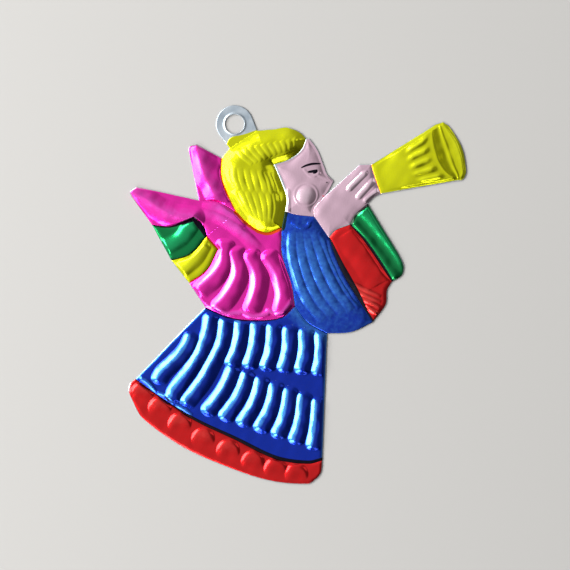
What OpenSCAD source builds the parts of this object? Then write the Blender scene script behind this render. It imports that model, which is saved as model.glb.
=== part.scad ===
// Painted and embossed tin ornament: a winged figure blowing a trumpet.
// One thin sheet is cut out, punched and embossed from behind.
// Each field of coloured lacquer and each ink line is a coat of its own on the sheet.
// +Z is up, +X runs towards the trumpet and the painted front faces -Y.
// The origin is the middle of the hanging hole, half way through the flat sheet.

/* [Sheet] */
// Thickness of the tin sheet
tin_t = 0.3; // [0.2:0.05:0.5]
// Diameter of the punched hanging hole
hole_d = 6; // [4:0.5:8]
// Width of the bare metal ring around the hole
ring_w = 2.75; // [2:0.25:4]
// Width of the burr that the punch raised around the hole
burr_w = 0.4; // [0.2:0.1:0.8]
// Height of the burr above the front of the sheet
burr_h = 0.2; // [0.1:0.05:0.4]

/* [Coats] */
// Thickness of a coat of lacquer
lacquer_t = 0.05; // [0.03:0.01:0.1]
// Thickness of an ink line
ink_t = 0.03; // [0.02:0.01:0.06]
// Width of the brush strokes on the face
stroke_w = 0.45; // [0.3:0.05:0.7]
// Width of the ink line above the hem
hem_ink_w = 0.8; // [0.5:0.1:1.2]
// Width of the ink line beside the bodice
sleeve_ink_w = 1; // [0.6:0.1:1.4]
// Width of the ink line between the sleeve and the cuff
cuff_ink_w = 0.8; // [0.5:0.1:1.2]
// Width of the ink line at the end of the green feather
feather_ink_w = 1.2; // [0.6:0.1:1.6]

/* [Figure] */
// Length of the trumpet from the hand to its mouth
trumpet_l = 23; // [16:1:32]
// Width of the trumpet's mouth
mouth_w = 18.5; // [14:0.5:22]
// Length of the skirt at its right edge
skirt_l = 39; // [30:1:48]
// Greatest height of the red hem
hem_h = 9; // [6:0.5:11]
// Length of the near wing's free tip
wing_tip_l = 13; // [9:1:17]
// Length of the far wing above the near wing
far_wing_l = 16; // [12:1:20]

/* [Relief] */
// Rise of the hair
hair_rise = 2; // [1:0.25:3]
// Rise of each lock within the hair
lock_rise = 0.5; // [0.2:0.1:0.8]
// Rise of the round cheek
cheek_rise = 1.4; // [0.6:0.2:2]
// Width of the round cheek
cheek_d = 6.5; // [5:0.5:7]
// Rise of the arm
arm_rise = 1.2; // [0.6:0.2:2]
// Rise of each finger
finger_rise = 0.7; // [0.3:0.1:1]
// Rise of the trumpet
trumpet_rise = 2; // [1:0.25:3]
// Rise of the flutes around the trumpet
trumpet_flute = 0.5; // [0.2:0.1:0.8]
// Rise of the wings
wing_rise = 1.2; // [0.6:0.2:2]
// Rise of each feather
feather_rise = 1.2; // [0.6:0.2:2]
// Rise of the bodice
bodice_rise = 1.2; // [0.6:0.2:2]
// Rise of each fold in the bodice and the sleeve
fold_rise = 0.6; // [0.3:0.1:1]
// Rise of each flute in the skirt
flute_rise = 1.2; // [0.6:0.2:2]
// Rise of each half moon along the hem
moon_rise = 1.2; // [0.6:0.2:1.6]

/* [Hidden] */

magenta = [0.92, 0.18, 0.66];
blue = [0.05, 0.25, 0.75];
yellow = [0.82, 0.84, 0.1];
red = [0.8, 0.12, 0.12];
green = [0, 0.52, 0.28];
pink = [0.82, 0.68, 0.74];
tin = [0.72, 0.76, 0.78];
black = [0.05, 0.03, 0.08];

// Counts of facets along the outlines; sides that face each other add up to the same count
chord_n = 4;
crown_n = 12;
fringe_n = 6;
brow_n = 2;
collar_n = fringe_n + brow_n;
profile_n = 7;
lip_n = 2;
throat_n = 3;
temple_n = profile_n + lip_n + throat_n;
lock_n = 2;
nape_n = 3;
behind_n = fringe_n + temple_n + lock_n - nape_n;
hair_foot_n = chord_n + crown_n;
mouth_n = 12;
knuckle_n = 2;
shoulder_n = mouth_n + knuckle_n;
arm_n = 10;
cone_n = 8;
bell_n = 3;
sleeve_top_n = 6;
cuff_top_n = 4;
heel_n = arm_n + throat_n - sleeve_top_n - cuff_top_n;
far_n = 5;
far_top_n = 4;
seam_n = 6;
near_left_n = 5;
band_n = 8;
band_end_n = 4;
near_top_n = near_left_n + band_n + band_end_n - far_n;
wing_side_n = band_n + band_end_n;
sleeve_n = lock_n + wing_side_n;
wing_low_n = 2;
wing_foot_n = seam_n + hair_foot_n - wing_low_n;
waist_n = 12;
sleeve_low_n = collar_n + shoulder_n - waist_n;
hip_n = 4;
skirt_n = hip_n + wing_foot_n + waist_n;
skirt_rows = 16;
hem_rows = 4;

// Corners where the fields meet, as [x, z]
tab_left = [-1.5, -7.5];
tab_right = [7, -2];
forelock = [22, -4.5];
forehead = [23, -4.5];
temple = [12, -12.5];
jaw = [15.5, -27];
hair_end = [14.5, -32];
nape = [-4, -10.5];
wing_root = [0.5, -27];
far_root = [-11, -23.5];
nose = [30.5, -17.5];
throat = [28, -22];
collar_end = [24.5, -28.5];
knuckle = [38.5, -12.5];
grip_top = [42, -12.5];
grip_low = [45, -21.5];
elbow = [29, -35];
cuff_fold = [35.5, -31];
cuff_top = [41, -24.5];
cuff_out = [50.5, -40];
cuff_end = [48.5, -48.5];
sleeve_end = [42.5, -61];
waist_left = [18.5, -56];
waist_right = [28.5, -64.5];
skirt_top = [-9, -56.5];
skirt_side = [-16, -63.5];
feather_root = [-8.5, -34.5];
green_root = [-12.5, -29];
yellow_root = [-5, -38.5];
green_tip = [-25.5, -31];
yellow_tip = [-19.5, -42];
wing_low = [-14, -49];

// Points that the curves bend through between their corners, as [x, z]
crown_bends = [[12.5, -1.5], [16, -1], [20, -2.5]];
profile_bends = [[25.5, -8], [27.5, -13], [28.5, -15.5]];
lip_bends = [[29.5, -19.5]];
heel_bends = [[43, -22.5]];
cuff_foot_bends = [[51.5, -46.5], [52, -43.5]];
sleeve_foot_bends = [[46.5, -55.5], [47, -51]];
sleeve_low_bends = [[36, -64]];
near_top_bends = [[-24.5, -20.5]];
fringe_bends = [[20.5, -8], [16.5, -11]];
temple_bends = [[14, -17], [16, -23]];
behind_bends = [[-4, -16], [-2, -22]];
hair_foot_bends = [[4.5, -31], [9.5, -33.5]];
far_near_bends = [[-5, -24]];
green_top_bends = [[-19.5, -31.5]];
green_end_bends = [[-9.5, -31.5]];
green_low_bends = [[-13.5, -40]];
yellow_low_bends = [[-8.5, -45]];
wing_side_bends = [[14.5, -40], [17.5, -49.5]];
wing_foot_bends = [[-2, -59.5], [6, -60.5], [14.5, -59.5]];
waist_bends = [[22.5, -61]];
collar_bends = [[19.5, -28]];
throat_bends = [[24.5, -26]];
sleeve_line_bends = [[33, -45.5]];
sleeve_top_bends = [[31.5, -32.5]];
cuff_line_bends = [[40, -36]];
cuff_top_bends = [[37, -28]];
grip_bends = [[43.5, -17.5]];

// The trumpet points up from the hand and its mouth is nearly square to it
trumpet_tilt = 21;
mouth_tilt = 18;
trumpet_dir = [cos(trumpet_tilt), sin(trumpet_tilt)];
mouth_dir = [-sin(mouth_tilt), cos(mouth_tilt)];
mouth_mid = (grip_top + grip_low) / 2 + trumpet_l * trumpet_dir;
mouth_top = mouth_mid + mouth_w / 2 * mouth_dir;
mouth_low = mouth_mid - mouth_w / 2 * mouth_dir;
bell_top = mouth_top + [2, 0.6];
bell_low = mouth_low + [2, 0.2];
bell_bends = [bell_top + [2, -1.5], mouth_mid + [5, 1.5], bell_low + [1.5, 3], bell_low + [1, 1]];
mouth_bends = [mouth_top + [-1.5, -1], mouth_mid + [-4.5, 2.5], mouth_mid + [-2, -4.5]];

// The free tips of the wings
near_dir = [-0.98, 0.2];
near_mid = [-18, -24.5] + wing_tip_l * near_dir;
near_top = near_mid + [0.5, 2.5];
near_low = near_mid + [-1, -0.5];
near_nose = near_mid + [-1.5, 1];
far_dir = [-0.2, 0.98];
far_tip_left = far_root + far_wing_l * far_dir;
far_tip_right = far_tip_left + [2.5, 1.5];
far_nose = far_tip_left + [0.5, 1];

// The skirt hangs from the waist and the hem from the skirt
skirt_foot = waist_right + [-1.5, -skirt_l];
skirt_corner = [-30.5, -39.5];
skirt_toe = skirt_corner - [0, skirt_l];
hem_foot = skirt_foot + hem_h * [-0.17, -0.6];
hem_toe = skirt_toe + [-1.5, -1];
hem_steps = [[0, 0], [7.5, -5.5], [18, -12.5], [30.5, -18.5], [43, -24.5], [53, -26]];
hem_points = concat([for (step = hem_steps) skirt_toe + step], [skirt_foot]);
hem_drops = [
    [-0.09, -0.77], [-0.6, -0.72], [-0.45, -0.89], [-0.47, -0.86], [-0.26, -0.73], [0, -0.69]
];

function lengths(p) = [
    for (i = 0, s = 0; i < len(p); s = s + (i + 1 < len(p) ? norm(p[i + 1] - p[i]) : 0), i = i + 1) s
];
function slope(p, s, i) = let (a = max(i - 1, 0), b = min(i + 1, len(p) - 1))
    (p[b] - p[a]) / (s[b] - s[a]);
function on_curve(p, s, d) = let (
    k = max([for (i = [0:len(p) - 2]) if (s[i] <= d) i]),
    h = s[k + 1] - s[k],
    t = (d - s[k]) / h
) (1 - t) * (1 - t) * ((1 + 2 * t) * p[k] + t * h * slope(p, s, k))
    + t * t * ((3 - 2 * t) * p[k + 1] + (t - 1) * h * slope(p, s, k + 1));

// Points of a smooth curve through p, at the given shares of its length
function curve_at(p, shares) = let (s = lengths(p), l = s[len(s) - 1]) [
    for (t = shares) on_curve(p, s, l * t)
];
function even(n) = [for (i = [0:n]) i / n];
function curve(p, n) = curve_at(p, even(n));
function turned(c) = [for (i = [len(c) - 1:-1:0]) c[i]];
function joined(cs) = [
    for (k = [0:len(cs) - 1], i = [(k == 0 ? 0 : 1):len(cs[k]) - 1]) cs[k][i]
];

// Even shares with one narrow row for an ink line
function inked_last(n, w) = [for (i = [0:n]) i == n ? 1 : (1 - w) * i / (n - 1)];
function inked_first(n, w) = [for (i = [0:n]) i == 0 ? 0 : w + (1 - w) * (i - 1) / (n - 1)];
skirt_shares = inked_last(skirt_rows, hem_ink_w / skirt_l);
sleeve_shares = inked_first(sleeve_top_n, sleeve_ink_w / norm(cuff_fold - elbow));
cuff_shares = inked_first(cuff_top_n, cuff_ink_w / norm(cuff_top - cuff_fold));
band_shares = inked_last(band_n, feather_ink_w / norm(green_root - green_tip));

// Outline of the sheet, clockwise from the tab
chord = curve([tab_left, tab_right], chord_n);
crown = curve(concat([tab_right], crown_bends, [forelock]), crown_n);
brow = curve([forelock, forehead], brow_n);
profile = curve(concat([forehead], profile_bends, [nose]), profile_n);
lip = curve(concat([nose], lip_bends, [throat]), lip_n);
arm_top = curve([throat, knuckle], arm_n);
knuckles = curve([knuckle, grip_top], knuckle_n);
cone_top = curve([grip_top, mouth_top], cone_n);
bell_edge_top = curve([mouth_top, bell_top], bell_n);
bell = curve(concat([bell_top], bell_bends, [bell_low]), mouth_n);
bell_edge_low = curve([mouth_low, bell_low], bell_n);
cone_low = curve([grip_low, mouth_low], cone_n);
heel = curve(concat([cuff_top], heel_bends, [grip_low]), heel_n);
cuff_edge = curve([cuff_top, cuff_out], sleeve_n);
cuff_foot = curve_at(concat([cuff_end], cuff_foot_bends, [cuff_out]), cuff_shares);
sleeve_foot = curve_at(concat([sleeve_end], sleeve_foot_bends, [cuff_end]), sleeve_shares);
sleeve_low = curve(concat([waist_right], sleeve_low_bends, [sleeve_end]), sleeve_low_n);
skirt_right = curve_at([waist_right, skirt_foot], skirt_shares);
hem_right = curve([skirt_foot, skirt_foot + hem_h * [-0.04, -0.4], hem_foot], hem_rows);
hem_low = curve(concat(
    [hem_toe, skirt_toe + hem_h * [-0.24, -0.36]],
    [for (k = [0:len(hem_drops) - 1]) hem_points[k] + hem_h * hem_drops[k]],
    [hem_foot]
), skirt_n);
hem_left = curve([skirt_toe, hem_toe], hem_rows);
skirt_left = curve_at([skirt_side, skirt_toe], skirt_shares);
hip = curve([skirt_side, skirt_top], hip_n);
wing_low_edge = curve([wing_low, skirt_top], wing_low_n);
yellow_edge = curve([yellow_tip, wing_low], band_end_n);
green_edge = curve([green_tip, yellow_tip], band_end_n);
near_left = curve([near_low, green_tip], near_left_n);
near_tip = curve([near_low, near_nose, near_top], seam_n);
near_top_edge = curve(concat([near_top], near_top_bends, [far_root]), near_top_n);
far_left = curve([far_tip_left, far_root], far_top_n + behind_n);
far_tip = curve([far_tip_left, far_nose, far_tip_right], far_n);
far_top = curve([far_tip_right, nape], far_top_n);
nape_edge = curve([tab_left, nape], nape_n);

// Creases between the fields
fringe = curve(concat([forelock], fringe_bends, [temple]), fringe_n);
temple_edge = curve(concat([temple], temple_bends, [jaw]), temple_n);
lock_edge = curve([jaw, hair_end], lock_n);
behind = curve(concat([nape], behind_bends, [wing_root]), behind_n);
hair_foot = curve(concat([wing_root], hair_foot_bends, [hair_end]), hair_foot_n);
far_near = curve(concat([far_root], far_near_bends, [wing_root]), far_n);
wing_seam = curve([wing_root, feather_root], seam_n);
green_top_edge = curve_at(concat([green_tip], green_top_bends, [green_root]), band_shares);
green_end = curve(concat([green_root], green_end_bends, [feather_root]), band_end_n);
green_low_edge = curve_at(concat([yellow_tip], green_low_bends, [feather_root]), band_shares);
yellow_end = curve([feather_root, yellow_root], band_end_n);
yellow_low_edge = curve_at(concat([wing_low], yellow_low_bends, [yellow_root]), band_shares);
wing_side = curve(concat([hair_end], wing_side_bends, [waist_left]), wing_side_n);
wing_foot = curve(concat([skirt_top], wing_foot_bends, [waist_left]), wing_foot_n);
waist = curve(concat([waist_left], waist_bends, [waist_right]), waist_n);
collar = curve(concat([jaw], collar_bends, [collar_end]), collar_n);
throat_edge = curve(concat([throat], throat_bends, [collar_end]), throat_n);
shoulder = curve([collar_end, elbow], shoulder_n);
sleeve_line = curve(concat([elbow], sleeve_line_bends, [sleeve_end]), sleeve_n);
sleeve_top = curve_at(concat([elbow], sleeve_top_bends, [cuff_fold]), sleeve_shares);
cuff_line = curve(concat([cuff_fold], cuff_line_bends, [cuff_end]), sleeve_n);
cuff_top_edge = curve_at(concat([cuff_fold], cuff_top_bends, [cuff_top]), cuff_shares);
grip = curve(concat([grip_top], grip_bends, [grip_low]), mouth_n);
mouth = curve(concat([mouth_top], mouth_bends, [mouth_low]), mouth_n);
hem_line = curve(hem_points, skirt_n);

// Shapes of the relief, from 0 on a field's edge to 1 at its height
function bump(t) = abs(t) < 1 ? (1 + cos(180 * t)) / 2 : 0;
function flute(t) = (1 - cos(360 * t)) / 2;
function arch(t) = sqrt(max(0, sin(180 * t)));
function swell(u, v) = arch(u) * arch(v);
function ridge(u, v, r, half) = let (
    t = (v - r[1]) / (r[2] - r[1]),
    off = (u - r[0] - r[3] * (t - 0.5) + r[4] * pow(2 * t - 1, 2)) / half
) t <= 0 || t >= 1 || abs(off) >= 1 ? 0 : (1 - off * off) * arch(t);
function ridges(u, v, rs, half) = max([for (r = rs) ridge(u, v, r, half)]);
function stretch(t, span) = t <= span[0] || t >= span[1]
    ? 0
    : arch((t - span[0]) / (span[1] - span[0]));

// A field between four curves: u runs left to right, v runs top to bottom.
// Inside its edges, rise(u, v, [x, z]) lifts it.
function field(top, foot, left, right, rise, us = undef, vs = undef) = let (
    n = len(top) - 1,
    m = len(left) - 1,
    across = is_undef(us) ? even(n) : us,
    down = is_undef(vs) ? even(m) : vs
) [
    for (j = [0:m]) [
        for (i = [0:n]) let (
            u = across[i],
            v = down[j],
            by_sides = (1 - u) * left[j] + u * right[j],
            by_ends = (1 - v) * top[i] + v * foot[i],
            by_corners = (1 - v) * ((1 - u) * top[0] + u * top[n]) + v * ((1 - u) * foot[0] + u * foot[n]),
            p = by_sides + by_ends - by_corners,
            inside = i > 0 && i < n && j > 0 && j < m
        ) [p.x, inside ? rise(u, v, p) : 0, p.y]
    ]
];

// A part of a field, by its columns or rows
function columns(f, a, b) = [for (row = f) [for (i = [a:b]) row[i]]];
function rows(f, a, b) = [for (j = [a:b]) f[j]];

// The closed edge of one field, and of several from their outline curves, clockwise
function edge_of(f) = let (m = len(f) - 1, n = len(f[0]) - 1) concat(
    [for (i = [0:n - 1]) f[0][i]],
    [for (j = [0:m - 1]) f[j][n]],
    [for (i = [n:-1:1]) f[m][i]],
    [for (j = [m:-1:1]) f[j][0]]
);
function loop_of(curves) = let (c = joined(curves)) [for (i = [0:len(c) - 2]) [c[i].x, 0, c[i].y]];

// Faces of a field whose points start at number k, facing the front or the back
function faces_of(f, k, front) = let (n = len(f[0]), m = len(f)) [
    for (j = [0:m - 2], i = [0:n - 2]) let (
        a = k + j * n + i,
        b = a + 1,
        c = b + n,
        d = a + n
    ) each front ? [[a, b, c], [a, c, d]] : [[a, c, b], [a, d, c]]
];
function size_of(f) = len(f) * len(f[0]);
function starts_of(fs) = [
    for (i = 0, k = 0; i <= len(fs); k = k + (i < len(fs) ? size_of(fs[i]) : 0), i = i + 1) k
];
function raised(points, y) = [for (p = points) [p[0], -p[1] - y, p[2]]];

// A layer over some fields, between two heights above the middle of the flat sheet
module layer(fields, edge, low, high) {
    starts = starts_of(fields);
    n = starts[len(fields)];
    m = len(edge);
    surface = [for (f = fields, row = f) each row];
    points = concat(raised(surface, high), raised(surface, low), raised(edge, high), raised(edge, low));
    faces = concat(
        [for (k = [0:len(fields) - 1]) each faces_of(fields[k], starts[k], true)],
        [for (k = [0:len(fields) - 1]) each faces_of(fields[k], n + starts[k], false)],
        [
            for (i = [0:m - 1]) let (a = 2 * n + i, b = 2 * n + (i + 1) % m)
                each [[a, a + m, b + m], [a, b + m, b]]
        ]
    );
    polyhedron(points, faces, 10);
}
front = tin_t / 2;
coat = front + lacquer_t;
module lacquer(fields, edge) {
    layer(fields, edge, front, coat);
}
module ink_over(f) {
    layer([f], edge_of(f), coat, coat + ink_t);
}

// How many embossed forms a field has, and the shares of the field that they run between
locks = 4;
fingers = 4;
trumpet_flutes = mouth_n / 2;
bodice_folds = 4;
sleeve_folds = 7;
moons = 9;
finger_span = [0.55, 0.97];
trumpet_flute_span = [0.3, 0.9];
near_ridge = 0.35;

// Feathers and flutes, each as [u at its middle, v from, v to, lean, bow], in shares of its field
feathers = [
    [0.04, 0.2, 1, -0.02, 0], [0.21, 0.3, 0.98, 0.04, 0.07],
    [0.51, 0.34, 0.92, 0.12, 0.1], [0.82, 0.26, 0.94, 0.09, 0.09]
];
feather_half = 0.06;
skirt_flutes = [
    [0.1, 0.32, 0.92, -0.04, 0], [0.2, 0.07, 0.98, 0.03, 0.04], [0.28, 0.05, 0.95, 0.02, 0.03],
    [0.36, 0, 0.45, 0.06, 0.01], [0.455, 0.01, 0.43, 0.06, 0.01], [0.55, 0.03, 0.43, 0.06, 0.01],
    [0.685, 0.12, 0.44, 0.05, 0.02], [0.815, 0.07, 0.37, 0.03, 0.02], [0.94, 0.01, 0.34, 0.01, 0.01],
    [0.395, 0.44, 0.91, -0.02, 0.02], [0.48, 0.46, 0.89, -0.01, 0.02], [0.57, 0.48, 0.89, -0.01, 0.02],
    [0.67, 0.52, 0.88, -0.01, 0.02], [0.765, 0.5, 0.87, -0.01, 0.02], [0.855, 0.49, 0.87, -0.01, 0.01],
    [0.94, 0.5, 0.9, -0.01, 0]
];
flute_half = 0.04;

// Relief of each field
cheek = [22, -22];
seam_share = seam_n / (seam_n + hair_foot_n);
function seam_lift(t) = 0.6 * wing_rise * bump(2 * t - 1);
hair_shape = function(u, v, p) swell(u, v) * (hair_rise + lock_rise * flute(locks * u));
face_shape = function(u, v, p) cheek_rise * arch(bump(norm(p - cheek) / cheek_d * 2) / 2);
arm_shape = function(u, v, p) swell(u, v) * arm_rise
    + finger_rise * flute(fingers * v) * stretch(u, finger_span);
cone_shape = function(u, v, p) arch(v) * (
    trumpet_rise * arch(u)
    + trumpet_flute * flute(trumpet_flutes * v) * stretch(u, trumpet_flute_span)
);
mouth_shape = function(u, v, p) 0.3 * trumpet_rise * swell(u, v);
far_wing_shape = function(u, v, p) wing_rise * sin(180 * u) * arch(v);
limb_shape = function(u, v, p) seam_lift(v) * sin(90 * min(1, 2 * u))
    + 0.5 * wing_rise * bump(v / near_ridge - 1) * arch(u);
fan_shape = function(u, v, p) feather_rise * ridges(u, v, feathers, feather_half)
    + (u < seam_share ? seam_lift(1 - u / seam_share) * (1 - v) * (1 - v) : 0);
band_shape = function(u, v, p) 0.7 * wing_rise * arch(u) * sin(180 * v);
bodice_shape = function(u, v, p) swell(u, v) * (bodice_rise + fold_rise * flute(bodice_folds * u));
sleeve_shape = function(u, v, p) swell(u, v) * (bodice_rise + fold_rise * flute(sleeve_folds * v));
cuff_shape = function(u, v, p) bodice_rise * swell(u, v);
skirt_shape = function(u, v, p) flute_rise * ridges(u, v, skirt_flutes, flute_half);
hem_shape = function(u, v, p) moon_rise * arch(v) * flute(moons * u);

// The fields
hair_field = field(joined([chord, crown]), hair_foot, joined([nape_edge, behind]),
    joined([fringe, temple_edge, lock_edge]), hair_shape);
face_field = field(joined([turned(fringe), brow]), collar, temple_edge,
    joined([profile, lip, throat_edge]), face_shape);
arm_field = field(joined([turned(throat_edge), arm_top]), joined([sleeve_top, cuff_top_edge, heel]),
    shoulder, joined([knuckles, grip]), arm_shape);
cone_field = field(cone_top, cone_low, grip, mouth, cone_shape);
mouth_field = field(bell_edge_top, bell_edge_low, mouth, bell, mouth_shape);
far_wing_field = field(far_tip, far_near, far_left, joined([far_top, behind]), far_wing_shape);
limb_field = field(joined([near_top_edge, far_near]), joined([near_left, green_top_edge, green_end]),
    turned(near_tip), wing_seam, limb_shape);
fan_field = field(joined([turned(wing_seam), hair_foot]), joined([wing_low_edge, wing_foot]),
    joined([yellow_end, turned(yellow_low_edge)]), wing_side, fan_shape);
green_field = field(green_top_edge, green_low_edge, green_edge, green_end, band_shape, band_shares);
yellow_field = field(green_low_edge, yellow_low_edge, yellow_edge, yellow_end, band_shape, band_shares);
bodice_field = field(joined([collar, shoulder]), joined([waist, sleeve_low]),
    joined([lock_edge, wing_side]), sleeve_line, bodice_shape);
sleeve_field = field(sleeve_top, sleeve_foot, sleeve_line, cuff_line, sleeve_shape, sleeve_shares);
cuff_field = field(cuff_top_edge, cuff_foot, cuff_line, cuff_edge, cuff_shape, cuff_shares);
skirt_field = field(joined([hip, wing_foot, waist]), hem_line, skirt_left, skirt_right, skirt_shape,
    undef, skirt_shares);
hem_field = field(hem_line, hem_low, hem_left, hem_right, hem_shape);

sheet_edge = loop_of([
    chord, crown, brow, profile, lip, arm_top, knuckles, cone_top, bell_edge_top, bell,
    turned(bell_edge_low), turned(cone_low), turned(heel), cuff_edge, turned(cuff_foot),
    turned(sleeve_foot), turned(sleeve_low), skirt_right, hem_right, turned(hem_low),
    turned(hem_left), turned(skirt_left), hip, turned(wing_low_edge), turned(yellow_edge),
    turned(green_edge), turned(near_left), near_tip, near_top_edge, turned(far_left), far_tip,
    far_top, turned(nape_edge)
]);

// The tab is flat, with a punched hole whose burr stands up on the painted side
ring_r = hole_d / 2 + ring_w;
function touch(p, side) = let (d = norm(p), a = acos(ring_r / d)) ring_r * [
    cos(atan2(p.y, p.x) + side * a), sin(atan2(p.y, p.x) + side * a)
];
module tab() {
    rotate([90, 0, 0])
        translate([0, 0, -front])
            linear_extrude(tin_t)
                difference() {
                    union() {
                        circle(ring_r, $fn = 96);
                        polygon([touch(tab_left, -1), tab_left, tab_right, touch(tab_right, 1), [0, 0]]);
                    }
                    circle(d = hole_d, $fn = 96);
                }
}
module burr() {
    rotate([90, 0, 0])
        rotate_extrude($fn = 96)
            polygon([
                [hole_d / 2, 0], [hole_d / 2 + burr_w, 0], [hole_d / 2 + burr_w, front],
                [hole_d / 2 + burr_w / 3, front + burr_h], [hole_d / 2, front + burr_h]
            ]);
}
module tin_sheet() {
    color(tin)
        union() {
            layer([
                hair_field, face_field, arm_field, cone_field, mouth_field, far_wing_field, limb_field,
                fan_field, green_field, yellow_field, bodice_field, sleeve_field, cuff_field,
                skirt_field, hem_field
            ], sheet_edge, -front, front);
            tab();
            burr();
        }
}

module hair_lacquer() {
    color(yellow) lacquer([hair_field], edge_of(hair_field));
}
module face_lacquer() {
    color(pink) lacquer([face_field], edge_of(face_field));
}
module arm_lacquer() {
    color(pink) lacquer([arm_field], edge_of(arm_field));
}
module trumpet_lacquer() {
    color(yellow)
        lacquer([cone_field, mouth_field], loop_of([
            cone_top, bell_edge_top, bell, turned(bell_edge_low), turned(cone_low), turned(grip)
        ]));
}
module far_wing_lacquer() {
    color(magenta) lacquer([far_wing_field], edge_of(far_wing_field));
}
module near_wing_lacquer() {
    color(magenta)
        lacquer([limb_field, fan_field], loop_of([
            near_top_edge, far_near, hair_foot, wing_side, turned(wing_foot), turned(wing_low_edge),
            yellow_low_edge, turned(yellow_end), turned(green_end), turned(green_top_edge),
            turned(near_left), near_tip
        ]));
}
module green_feather_lacquer() {
    color(green) lacquer([green_field], edge_of(green_field));
}
module yellow_feather_lacquer() {
    color(yellow) lacquer([yellow_field], edge_of(yellow_field));
}
module bodice_lacquer() {
    color(blue) lacquer([bodice_field], edge_of(bodice_field));
}
module sleeve_lacquer() {
    color(red) lacquer([sleeve_field], edge_of(sleeve_field));
}
module cuff_lacquer() {
    color(green) lacquer([cuff_field], edge_of(cuff_field));
}
module skirt_lacquer() {
    color(blue) lacquer([skirt_field], edge_of(skirt_field));
}
module hem_lacquer() {
    color(red) lacquer([hem_field], edge_of(hem_field));
}

// Ink lines along the creases lie on the lacquer
module sleeve_ink() {
    color(black) ink_over(columns(sleeve_field, 0, 1));
}
module cuff_ink() {
    color(black) ink_over(columns(cuff_field, 0, 1));
}
module hem_ink() {
    color(black) ink_over(rows(skirt_field, skirt_rows - 1, skirt_rows));
}
module feather_ink() {
    color(black) ink_over(columns(green_field, band_n - 1, band_n));
}

// Brush strokes on the face
lash = [25.5, -14.2];
brow_path = [[20.5, -13.5], [22, -12.8], [24, -12.3], [26.5, -12.2]];
upper_lid_path = [[22.5, -14.8], [24, -14.6], lash];
iris_path = [lash, [24.9, -14.8], [24.1, -15.1]];
nostril_path = [[28.1, -18], [28.7, -18]];
mouth_path = [[27, -22], [27.5, -22.3]];

// A brush stroke on the flat of the face, tapered to its ends
module stroke(path, w) {
    c = curve(path, 10);
    n = len(c) - 1;
    half = [for (i = [0:n]) w / 2 * (0.35 + 0.65 * arch(i / n))];
    along = [for (i = [0:n]) c[min(i + 1, n)] - c[max(i - 1, 0)]];
    side = [for (d = along) [-d.y, d.x] / norm(d)];
    translate([0, -coat, 0])
        rotate([90, 0, 0])
            linear_extrude(ink_t)
                polygon(concat(
                    [for (i = [0:n]) c[i] + half[i] * side[i]],
                    [for (i = [n:-1:0]) c[i] - half[i] * side[i]]
                ));
}
module brow_ink() {
    color(black) stroke(brow_path, stroke_w);
}
module eye_ink() {
    color(black)
        union() {
            stroke(upper_lid_path, stroke_w);
            stroke(iris_path, stroke_w);
        }
}
module nostril_ink() {
    color(black) stroke(nostril_path, stroke_w);
}
module mouth_ink() {
    color(red) stroke(mouth_path, stroke_w);
}

tin_sheet();
hair_lacquer();
face_lacquer();
arm_lacquer();
trumpet_lacquer();
far_wing_lacquer();
near_wing_lacquer();
green_feather_lacquer();
yellow_feather_lacquer();
bodice_lacquer();
sleeve_lacquer();
cuff_lacquer();
skirt_lacquer();
hem_lacquer();
brow_ink();
eye_ink();
nostril_ink();
mouth_ink();
sleeve_ink();
cuff_ink();
hem_ink();
feather_ink();
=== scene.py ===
"""A painted tin ornament: one embossed sheet, its coats of clear lacquer and its ink lines.

Sizes are in millimetres, x to the right and z up from the middle of the hanging hole.
Each coat is a closed film over one or two fields. A field lies between four curves, and its
relief is a sum of swells and ridges, each a formula of the distance to an edge or to a path.
"""
import math

import bpy
import numpy as np
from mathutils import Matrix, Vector


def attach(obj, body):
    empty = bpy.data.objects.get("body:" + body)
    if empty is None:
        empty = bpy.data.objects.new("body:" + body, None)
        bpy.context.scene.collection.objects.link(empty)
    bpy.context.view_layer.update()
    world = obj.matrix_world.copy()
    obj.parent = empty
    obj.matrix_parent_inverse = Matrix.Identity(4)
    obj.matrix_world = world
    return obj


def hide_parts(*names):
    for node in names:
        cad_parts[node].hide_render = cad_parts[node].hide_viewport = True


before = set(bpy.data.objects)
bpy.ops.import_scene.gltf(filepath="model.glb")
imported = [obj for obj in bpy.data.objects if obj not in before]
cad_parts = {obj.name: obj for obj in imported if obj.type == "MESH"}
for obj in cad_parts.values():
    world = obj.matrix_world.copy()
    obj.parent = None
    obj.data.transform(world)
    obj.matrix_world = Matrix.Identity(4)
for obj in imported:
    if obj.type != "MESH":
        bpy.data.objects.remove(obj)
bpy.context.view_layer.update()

# Thicknesses, the tab with its punched hole, and how finely the surfaces are divided
MM = 0.001
TIN_T = 0.3
LACQUER_T = 0.05
INK_T = 0.03
INK_SINK = 0.02
FRONT = TIN_T / 2
COAT = FRONT + LACQUER_T
INK = COAT + INK_T
HIDDEN_GAP = 0.07
HOLE_R = 3.0
RING_R = 5.75
BURR_W = 0.45
BURR_H = 0.2
FILM_STEPS = 8
SHEET_STEPS = 4
PATH_STEPS = 16
INK_STEPS = 8
STROKE_STEPS = 40
SIDE_FACETS = 4
RING_FACETS = 24

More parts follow.
